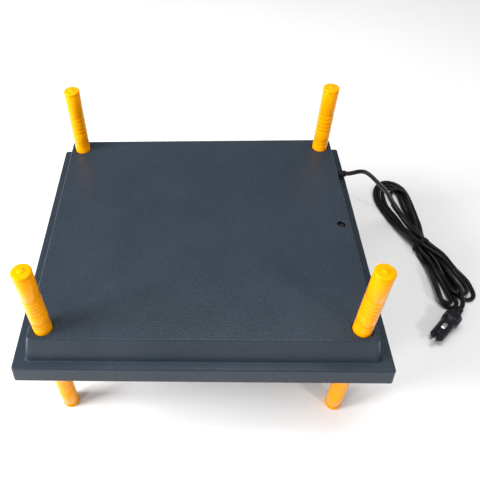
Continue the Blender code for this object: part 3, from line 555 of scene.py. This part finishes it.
LEAD_ROUTE = [
    (200.4, 117.5, 147.0), (206.0, 117.9, 147.0), (211.6, 119.7, 146.8), (217.3, 122.4, 145.9),
    (227.3, 128.1, 141.2), (236.5, 133.2, 133.3), (245.2, 137.0, 123.8), (253.7, 140.2, 113.7),
    (262.0, 143.4, 103.5), (273.9, 149.0, 88.9), (284.6, 155.4, 73.0), (294.5, 161.0, 56.0),
    (304.8, 165.2, 40.0), (312.8, 166.6, 29.8), (319.4, 164.8, 23.0), (325.0, 156.0, 18.8),
]
TAIL_ROUTE = [
    (364.5, 54.0, 11.0), (368.9, 34.0, 10.5), (370.2, 18.6, 10.5), (370.2, 13.0, 10.5), (369.9, 8.0, 10.7),
    (369.3, 2.3, 11.1), (367.8, -3.6, 11.5), (365.0, -8.9, 11.6), (361.1, -12.9, 11.6),
]
# Each strand's place across the hank: above the tie, at it and below it, and its layer at the tie
DOWN = [(0, 3, 21, 2), (-12.5, -3, 16, 2), (-8.5, 0, 7.5, 1), (-4.5, -6, 3.5, 1), (3.5, 6, 12, 1)]
UP = [(14.5, 9, 8, 0), (11, 3, 3, 0), (8, -3, -2.5, 0), (11.5, -9, -4.5, 0)]
# Folds: points on the right, centre, radii, height, tilt, points on the left
UPPER_FOLDS = [
    ([(351.4, 165), (351.8, 192)], (323.7, 221), (27.0, 38), 3.1, 0, [(299.0, 200), (308.2, 170)]),
    ([(347.4, 165), (345.8, 192)], (324.0, 223), (20.2, 28), 3.1, 0, [(305.5, 200), (314.8, 170)]),
    ([(343.2, 165), (339.5, 192)], (324.5, 224), (13.2, 19), 3.1, 0, [(311.5, 200), (321.5, 170)]),
    ([(347.0, 165), (346.0, 192)], (334.5, 219), (12.6, 15), 9.4, 0, [(325.0, 198), (331.5, 166)]),
]
LOWER_FOLDS = [
    ([(383.0, 60), (391.0, 40)], (380.0, 21.5), (12.0, 13.2), 3.1, 0, [(366.0, 40), (361.5, 56)]),
    ([(376.5, 60), (383.0, 44)], (373.0, 28.0), (11.8, 13.0), 9.2, 0, [(359.5, 44), (356.0, 58)]),
    ([(359.5, 52), (362.5, 32)], (354.9, 6.5), (9.3, 12.0), 6.4, 3.3, [(345.6, 30), (344.6, 54)]),
    ([(356.5, 52), (360.0, 34)], (352.6, 11.0), (9.1, 12.0), 12.4, 3.3, [(343.6, 34), (343.2, 56)]),
]
STIFFNESS = 0.25                # how hard a strand resists short kinks
SINK = 0.02                     # how far a strand sinks in each round
TOUCH = 1.01 * THICK            # strands closer than this push each other apart
WAIST = 8.0                     # half the bundle's width at the tie, to the strands' middles
HANGING = 160.0                 # length from the exit that stays as routed
PLUG_END = 24.0                 # length before the plug that stays as routed
SETTLING_STEP = 3.0             # between the points that are moved
CURVE_STEP = 1.8                # between the finished curve's points
REACH = 30.0                    # how far above and below the tie a strand's own places hold
LAYER_PITCH = 0.88 * THICK      # layers nest into each other
OWN_LENGTH = 1.8 * THICK        # points nearer than this along the lead don't push each other
WATCHED = 2.2 * THICK           # pairs this close are tested until the next search
SEARCH_EVERY = 10               # rounds
PUSH_SHARES = np.array([0.45, 0.45, 1.0])   # strands give way upwards more than sideways
PUSH_GAIN = 1.9
CROWDING = 0.6                  # how much a point pushed by several gives to each
SQUEEZE = 0.6                   # how fast the tie pulls the strands in
LETTING_GO = 21                 # points over which a held stretch becomes free


def strand(above, at, below, layer):
    """One strand's points through the tie, from above it to below it."""
    z = LIFT + THICK / 2 + layer * LAYER_PITCH
    stations = [(REACH, above, 0.9 * z), (0.4 * REACH, 0.55 * at + 0.45 * above, z),
                (-0.4 * REACH, 0.55 * at + 0.45 * below, z), (-REACH, below, 0.9 * z)]
    points = []
    for along, across, height in stations:
        x, y = TIE + ACROSS * across + ALONG * along
        points.append((x, y, max(height, THICK / 2)))
    return points


def fold(right, centre, radii, z, tilt, left, sweep):
    """A fold from its right-hand points round to its left-hand ones."""
    points = [(x, y, z - tilt) for x, y in right]
    for i in range(7):
        angle = math.radians(sweep * i / 6)
        points.append((centre[0] + radii[0] * math.cos(angle), centre[1] + radii[1] * math.sin(angle),
                       z - tilt * math.cos(angle)))
    return points + [(x, y, z + tilt) for x, y in left]


def cord_route():
    """The lead's own points, from its exit through the hank to the plug, before it lies down."""
    points = list(LEAD_ROUTE)
    for i, down in enumerate(DOWN):
        points += strand(*down)
        if i < len(UP):
            points += fold(*LOWER_FOLDS[i], -180)
            points += strand(*UP[i])[::-1]
            points += fold(*UPPER_FOLDS[i], 180)
    return np.array(points + TAIL_ROUTE, float)


def smooth_line(route, step):
    """Points a fixed step apart on a Catmull-Rom curve through the route."""
    padded = np.vstack([2 * route[0] - route[1], route, 2 * route[-1] - route[-2]])
    t = np.linspace(0, 1, 16, endpoint=False)[:, None]
    dense = []
    for a, b, c, d in zip(padded, padded[1:], padded[2:], padded[3:]):
        dense.append(0.5 * (2 * b + (c - a) * t + (2 * a - 5 * b + 4 * c - d) * t * t
                            + (3 * b - a - 3 * c + d) * t ** 3))
    return even_line(np.vstack(dense + [route[-1:]]), step)


def arc_length(line):
    """Length from the line's start to each of its points."""
    return np.r_[0, np.cumsum(np.linalg.norm(np.diff(line, axis=0), axis=1))]


def even_line(line, step):
    """The same line with its points about a step apart."""
    along = arc_length(line)
    places = np.linspace(0, along[-1], int(round(along[-1] / step)) + 1)
    return np.stack([np.interp(places, along, line[:, k]) for k in range(3)], 1)


def blurred(moves, sigma=4.0):
    """Moves smoothed along the cord, so that it keeps its own easy curves."""
    reach = int(sigma * 3)
    weights = np.exp(-0.5 * (np.arange(-reach, reach + 1) / sigma) ** 2)
    weights /= weights.sum()
    padded = np.vstack([np.repeat(moves[:1], reach, 0), moves, np.repeat(moves[-1:], reach, 0)])
    return np.stack([np.convolve(padded[:, k], weights, "valid") for k in range(3)], 1)


def lie_down(line, held, rounds=400):
    """Let the strands push each other apart and sink on to each other, the surface and the tie."""
    start = line
    line = line.copy()
    count = len(line)
    step = arc_length(line)[-1] / (count - 1)
    index = np.arange(count)
    apart = np.abs(index[:, None] - index[None, :]) > math.ceil(OWN_LENGTH / step)
    fade = np.ones(LETTING_GO) / LETTING_GO
    free = np.clip(np.convolve(np.where(held, 0.0, 1.0), fade, "same"), 0, 1) * ~held
    for turn in range(rounds):
        if turn % SEARCH_EVERY == 0:
            gaps = ((line[:, None, :] - line[None, :, :]) ** 2).sum(2)
            first, second = np.nonzero(np.triu((gaps < WATCHED ** 2) & apart))
        offset = line[first] - line[second]
        distance = np.linalg.norm(offset, axis=1)
        close = distance < TOUCH
        i, j = first[close], second[close]
        push = offset[close] / np.maximum(distance[close], 1e-6)[:, None] * PUSH_SHARES
        push *= (0.5 * (TOUCH - distance[close]))[:, None]
        moves = np.zeros_like(line)
        hits = np.zeros(count)
        np.add.at(moves, i, push)
        np.add.at(moves, j, -push)
        np.add.at(hits, i, 1)
        np.add.at(hits, j, 1)
        moves /= np.maximum(hits, 1)[:, None] ** CROWDING
        moves[:, 2] -= SINK
        from_tie = line[:, :2] + moves[:, :2] - TIE
        across, along = from_tie @ ACROSS, from_tie @ ALONG
        floor = THICK / 2 + LIFT * np.clip(1.5 - np.abs(along) / 10.0, 0, 1)
        moves[:, 2] += np.maximum(floor + 0.05 - line[:, 2] - moves[:, 2], 0)
        squeeze = (np.clip(across, -WAIST, WAIST) - across) * np.clip(1.6 - np.abs(along) / 8.0, 0, 1)
        squeeze *= np.abs(across) < 30
        moves[:, :2] += SQUEEZE * squeeze[:, None] * ACROSS
        line += PUSH_GAIN * blurred(moves) * free[:, None]
        moved = line - start
        line += STIFFNESS * (1 - turn / rounds) * (blurred(moved, 6.0) - moved) * free[:, None]
        line[:, 2] = np.maximum(line[:, 2], floor)
    return line


def settled_line():
    """The lead's centreline after it has lain down; its hanging start and its end at the plug stay."""
    line = smooth_line(cord_route(), SETTLING_STEP)
    along = arc_length(line)
    line = lie_down(line, (along < HANGING) | (along > along[-1] - PLUG_END))
    return smooth_line(np.vstack([line[:-1:2], line[-1:]]), CURVE_STEP)


def free_cord():
    """The lead as one curve. Returns its centreline in millimetres."""
    line = settled_line()
    curve = bpy.data.curves.new("free_lead", "CURVE")
    curve.dimensions = "3D"
    curve.bevel_depth = CORD_R
    curve.bevel_resolution = 6
    curve.use_fill_caps = True
    spline = curve.splines.new("POLY")
    spline.points.add(len(line) - 1)
    for target, point in zip(spline.points, line * MM):
        target.co = (*point, 1.0)
    curve.materials.append(FINISHES["cord_pvc"])
    made = bpy.data.objects.new("free_lead", curve)
    bpy.context.scene.collection.objects.link(made)
    settle(made, "root", ["cord_lead", "cord_hank", "cord_tail"])
    return line


# ---- tie ----------------------------------------------------------------------------------------

WIRE_R = 0.75                   # radius of one twisted end, and of the helix that it makes
TWIST_TURNS = 2
TWIST_STEPS = 30


def hull(points):
    """Convex hull of 2-D points, anticlockwise."""
    points = sorted(set(map(tuple, np.round(points, 4))))
    chains = []
    for run in (points, points[::-1]):
        chain = []
        for p in run:
            while len(chain) > 1:
                (ax, ay), (bx, by) = chain[-2:]
                if (bx - ax) * (p[1] - ay) - (by - ay) * (p[0] - ax) > 0:
                    break
                chain.pop()
            chain.append(p)
        chains.append(chain[:-1])
    return np.array(chains[0] + chains[1])


def bundle_outline(line, shift, grow):
    """Outline (across, height) of the strands where they pass the tie, grown by grow."""
    from_tie = line[:, :2] - TIE
    across, along = from_tie @ ACROSS, from_tie @ ALONG - shift
    near = np.nonzero((np.abs(along) < 1.2) & (np.abs(across) < 20) & (line[:, 2] < 40))[0]
    turns = np.linspace(0, 2 * math.pi, 24, endpoint=False)
    radius = THICK / 2 + grow
    points = [(across[i] + radius * math.cos(a), line[i, 2] + radius * math.sin(a))
              for i in near for a in turns]
    outline = hull(np.array(points))
    outline[:, 1] = np.maximum(outline[:, 1], 0.25)
    closed = np.vstack([outline, outline[:1]])
    flat = np.column_stack([closed, np.zeros(len(closed))])
    return even_line(flat, arc_length(flat)[-1] / 72)[:-1, :2]


def tie_point(across, height, along):
    """A point of the tie's own frame, in metres."""
    x, y = TIE + ACROSS * across + ALONG * along
    return Vector((x, y, height)) * MM


def tie(line):
    """A flat plastic-covered wire tie: two turns round the waist and its twisted ends."""
    bm = bmesh.new()
    for shift in (-1.7, 1.7):
        inner = bundle_outline(line, shift, 0.15)
        outer = bundle_outline(line, shift, 0.75)
        crest = bundle_outline(line, shift, 1.05)
        sections = [(inner, -1.5), (outer, -1.5), (crest, -0.35), (crest, 0.35), (outer, 1.5), (inner, 1.5)]
        rings = [[tie_point(a, z, shift + along) for a, z in outline] for outline, along in sections]
        skin_rings(bm, rings, close=True)
    make_piece("wire_tie", bm, "rubber", "root", ["cord_tie"])
    low = bundle_outline(line, 0, 0.9)
    side = low[np.argmin(low[:, 0])]
    ends = bmesh.new()
    for phase in (0.0, math.pi):
        add_rod(ends, twisted_end(side, phase), WIRE_R * MM, 10)
    make_piece("wire_tie_twist", ends, "rubber", "root")


def twisted_end(side, phase):
    """One of the tie's two ends, wound round the other as they lead away from the bundle's side."""
    points = []
    for i in range(TWIST_STEPS + 1):
        t = i / TWIST_STEPS
        spin = phase + t * TWIST_TURNS * 2 * math.pi
        out = 1.0 + 4.6 * t
        across = side[0] - 0.6 - out * 0.55 + WIRE_R * math.cos(spin)
        height = side[1] - 1.0 - 3.2 * t + WIRE_R * math.sin(spin)
        points.append(tie_point(across, max(height, 1.0), -out * 0.75))
    return points


def add_rod(bm, points, radius, sides):
    """A round rod with domed ends along points."""
    rings = []
    ahead = (points[1] - points[0]).normalized()
    side = ahead.orthogonal().normalized()
    for i, point in enumerate(points):
        before = points[max(i - 1, 0)]
        after = points[min(i + 1, len(points) - 1)]
        ahead = (after - before).normalized()
        side = (side - ahead * side.dot(ahead)).normalized()
        up = ahead.cross(side)
        size = radius * (0.55 if i in (0, len(points) - 1) else 1.0)
        rings.append([point + size * (math.cos(a) * side + math.sin(a) * up)
                      for a in (2 * math.pi * k / sides for k in range(sides))])
    skin_rings(bm, rings)


# ---- car plug -----------------------------------------------------------------------------------

WINDOW_Z = 48.5 * MM            # middle of the side windows and their contacts, along the plug
FACET = 0.60                    # the flat top's share of the body's width
SHELL_SHARP = 38                # degrees; sharper edges of the shell stay sharp


def plug_place():
    """Local Z runs along the plug to its tip, and local X points up from the surface."""
    ahead = Vector((math.cos(PLUG_HEADING), math.sin(PLUG_HEADING), 0))
    up = Vector((0, 0, 1))
    turn = Matrix((up, ahead.cross(up), ahead)).transposed().to_4x4()
    return Matrix.Translation(PLUG_REAR) @ turn


def body_section(half_height, half_width, facet, blend, count=48):
    """Half of a faceted section, from -Y over +X to +Y. Blend 1 is the facets, 0 a plain round."""
    top = facet * half_width
    side = 0.42 * half_height
    corners = [(0, -half_width), (side, -half_width), (half_height, -top), (half_height, top),
               (side, half_width), (0, half_width)]
    line = np.column_stack([np.array(corners), np.zeros(len(corners))])
    even = even_line(line, arc_length(line)[-1] / count)[:, :2]
    for _ in range(3):
        even[1:-1] = 0.25 * even[:-2] + 0.5 * even[1:-1] + 0.25 * even[2:]
    turns = np.linspace(-math.pi / 2, math.pi / 2, len(even))
    round_part = np.column_stack([half_height * np.cos(turns), half_width * np.sin(turns)])
    return blend * even + (1 - blend) * round_part


def plug_shell(name, side, place, node):
    """One half of the shell, split through the axis: faceted body, shoulder and round nose."""
    stations = [  # along the axis, half height, half width, blend of the facets
        (13.0, 6.2, 6.2, 0.3), (13.4, 6.9, 6.9, 0.6), (17.4, 10.7, 10.7, 1), (18.4, 11.25, 11.2, 1),
        (19.4, 11.4, 11.35, 1), (29.0, 11.4, 11.35, 1), (30.2, 11.2, 11.1, 1), (31.2, 10.7, 10.6, 0.8),
        (32.8, 9.9, 9.75, 0.3), (33.8, 9.7, 9.5, 0), (34.6, 9.6, 9.45, 0), (56.2, 9.6, 9.45, 0),
        (56.8, 9.4, 9.3, 0), (57.0, 9.2, 9.1, 0),
    ]
    wall = 1.8
    bore_r = 4.4                # the hollow is nowhere narrower than this
    gap = 0.15                  # of each half to the plane where they meet
    outer, inner = [], []
    for z, half_height, half_width, blend in stations:
        section = body_section(half_height - gap, half_width, FACET, blend)
        outer.append([(side * (x + gap) * MM, side * y * MM, z * MM) for x, y in section])
        inner_height = max(half_height - wall, bore_r) - gap
        shrunk = body_section(inner_height, max(half_width - wall, bore_r), FACET, blend)
        inner.append([(side * (x + gap) * MM, side * y * MM, z * MM) for x, y in shrunk])
    bm = bmesh.new()
    rings = [front + back[::-1] for front, back in zip(outer, inner)]
    skin_rings(bm, rings, cap=False)
    for ring in (rings[0], rings[-1]):
        half = len(ring) // 2
        verts = [bm.verts.new(point) for point in ring]
        for i in range(half - 1):
            bm.faces.new([verts[i], verts[i + 1], verts[-i - 2], verts[-i - 1]])
    made = make_piece(name, bm, "black_plastic", "root", [node], place, sharp=SHELL_SHARP, weld=True)
    window = bmesh.new()
    outline = rounded_rectangle(11.6 * MM, 6.2 * MM, 2.2 * MM, 0, 5, 0.3 * MM)
    through = (6 * MM, 13 * MM)
    skin_rings(window, [[(side * depth, y, WINDOW_Z + x) for x, y, _ in outline] for depth in through])
    cut(made, window, place)
    return made


def cut(target, bm, place):
    """Cut a closed bmesh out of a piece and keep the result as its mesh."""
    bmesh.ops.recalc_face_normals(bm, faces=bm.faces)
    mesh = bpy.data.meshes.new("cutter")
    bm.to_mesh(mesh)
    bm.free()
    mesh.transform(place)
    cutter = bpy.data.objects.new("cutter", mesh)
    bpy.context.scene.collection.objects.link(cutter)
    boolean = target.modifiers.new("cut", "BOOLEAN")
    boolean.object = cutter
    boolean.solver = "EXACT"
    bpy.context.view_layer.update()
    evaluated = target.evaluated_get(bpy.context.evaluated_depsgraph_get())
    result = bpy.data.meshes.new_from_object(evaluated)
    target.modifiers.remove(boolean)
    target.data = result
    bpy.data.objects.remove(cutter)
    result.set_sharp_from_angle(angle=math.radians(SHELL_SHARP))


def side_contact(name, side, body, place, node):
    """A sprung side contact: a rounded, crowned nickel strip standing a little proud of the nose."""
    bm = bmesh.new()
    levels = [(7.6, 0.9), (9.7, 1.0), (10.0, 0.985), (10.22, 0.93), (10.36, 0.82), (10.46, 0.6), (10.52, 0.3)]
    rings = []
    for height, share in levels:
        size = MM * share
        ring = rounded_rectangle(11.0 * size, 5.6 * size, 2.0 * size, 0, 6, 0.2 * size)
        drop = [0.35 * MM * (x / (5.5 * MM)) ** 2 for x, _, _ in ring]
        rings.append([(side * (height * MM - d), y, WINDOW_Z + x) for (x, y, _), d in zip(ring, drop)])
    rings.append([(side * 10.54 * MM, 0, WINDOW_Z)])
    skin_rings(bm, rings)
    return make_piece(name, bm, "nickel", body, [node], place)


def plug():
    """The plug's pieces, radii and places along it in millimetres. Its spring and fuse stay CAD nodes."""
    place = plug_place()
    collar = [(0, 0), (4.1, 0), (4.7, 0.25), (5.0, 0.9), (5.1, 3.2), (4.9, 3.7), (4.3, 3.9), (4.3, 4.9),
              (5.2, 5.1), (5.6, 5.6), (5.7, 8.2), (5.5, 8.8), (4.7, 9.0), (4.7, 10.0), (6.0, 10.3),
              (6.3, 10.8), (6.3, 12.5), (5.9, 12.9), (4.2, 13.0), (4.2, 21), (0, 21)]
    cap = [(2.5, 57.3), (9.0, 57.3), (9.4, 57.5), (9.5, 57.9)]
    cap += arc((5.1, 60.6), 4.4, 0, 84, 10)
    cap += [(4.4, 65), (3.4, 65), (3.1, 64.7), (2.5, 64.5)]
    pin = [(0, 54.3), (3.2, 54.3), (3.2, 55.7), (2.1, 55.7), (2.1, 69.6), (1.75, 69.9), (1.75, 70.4),
           (2.15, 70.7), (2.15, 71.6)]
    pin += arc((0.35, 71.7), 1.8, 5, 85, 6)
    pin.append((0, 73.5))
    return [
        turned("plug_collar", in_mm(collar), "rubber", "root", ["plug_strain_relief"], place, 40),
        plug_shell("plug_half_upper", 1, place, "plug_shell_upper"),
        plug_shell("plug_half_lower", -1, place, "plug_shell_lower"),
        turned("plug_nose", in_mm(cap), "black_plastic", "root", ["plug_nose_cap"], place, 56, hollow=True),
        turned("plug_pin", in_mm(pin), "nickel", "plug_tip", ["plug_tip_pin"], place, 32),
        side_contact("contact_strip_upper", 1, "contact_upper", place, "plug_contact_upper"),
        side_contact("contact_strip_lower", -1, "contact_lower", place, "plug_contact_lower"),
        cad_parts["plug_tip_spring"],
        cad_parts["plug_fuse"],
    ]


# ---- floor, light and carried-over CAD pieces ---------------------------------------------------

NODE_FINISHES = {
    "underside_panel": "panel_abs", "rim_frame": "panel_abs", "heating_foil": "foil",
    "heating_wire": "silicone_red", "insulation_board": "foam", "thermal_cutout": "white_plastic",
    "splice_positive": "nickel", "splice_negative": "nickel", "lead_positive": "silicone_red",
    "lead_negative": "silicone_blue", "cutout_lead": "silicone_red", "indicator_housing": "black_plastic",
    "indicator_led": "clear_glass", "gland_nut": "black_plastic", "plug_tip_spring": "zinc_steel",
    "plug_fuse": "clear_glass",
}


def repaint_nodes():
    """Every CAD piece that stays takes its procedural finish."""
    for name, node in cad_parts.items():
        kind = NODE_FINISHES.get(name)
        if name.startswith("leg_guide_"):
            kind = "black_plastic"
        if name.startswith("grip_ring_"):
            kind = "rubber"
        if kind is None:
            continue
        if not node.material_slots:
            node.data.materials.append(FINISHES[kind])
        for slot in node.material_slots:
            slot.material = FINISHES[kind]


LIGHTS = (                      # name, place, what it points at, size, watts
    ("side_left", (-1.4, -0.45, 0.95), (0, 0, 0.12), (0.7, 0.6), 41),
    ("key_left", (-0.95, -1.2, 1.05), (0, 0, 0.12), (0.2, 0.2), 6),
    ("key_right", (1.1, -1.15, 1.05), (0.1, 0, 0.12), (0.2, 0.2), 6),
    ("overhead", (0.15, 0.3, 2.2), (0.1, 0.1, 0), (1.4, 1.0), 27),
)


def area_light(name, place, aim, size, power):
    """A soft rectangular light that points at aim."""
    data = bpy.data.lights.new(name, "AREA")
    data.shape = "RECTANGLE"
    data.size, data.size_y = size
    data.energy = power
    lamp = bpy.data.objects.new(name, data)
    lamp.location = place
    lamp.rotation_euler = (Vector(aim) - Vector(place)).to_track_quat("-Z", "Y").to_euler()
    bpy.context.scene.collection.objects.link(lamp)


def studio():
    """A plain pale floor, an even white world and the four lights."""
    bm = bmesh.new()
    bmesh.ops.create_grid(bm, x_segments=1, y_segments=1, size=6)
    mesh = bpy.data.meshes.new("floor")
    bm.to_mesh(mesh)
    bm.free()
    floor = bpy.data.objects.new("floor", mesh)
    mesh.materials.append(finish("floor_paper", (0.87, 0.87, 0.87), (0.89, 0.89, 0.89), (0.85, 0.95), 3))
    bpy.context.scene.collection.objects.link(floor)
    world = bpy.data.worlds.new("studio")
    world.use_nodes = True
    world.node_tree.nodes["Background"].inputs["Color"].default_value = (1, 1, 1, 1)
    world.node_tree.nodes["Background"].inputs["Strength"].default_value = 0.30
    bpy.context.scene.world = world
    bpy.context.scene.view_settings.view_transform = "Standard"
    for light in LIGHTS:
        area_light(*light)


# ---- build --------------------------------------------------------------------------------------

make_camera()
FINISHES = {name: finish(name, **values) for name, values in FINISH_VALUES.items()}
cord_pieces = plug()
cord_pieces.append(gland())
cord_line = free_cord()
tie(cord_line)
cover()
legs()
lamp_lens()
for number, screw in enumerate(sorted(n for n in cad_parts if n.startswith("panel_screw_"))):
    panel_screw(screw[len("panel_screw_"):], 0.7 * number)
repaint_nodes()
studio()
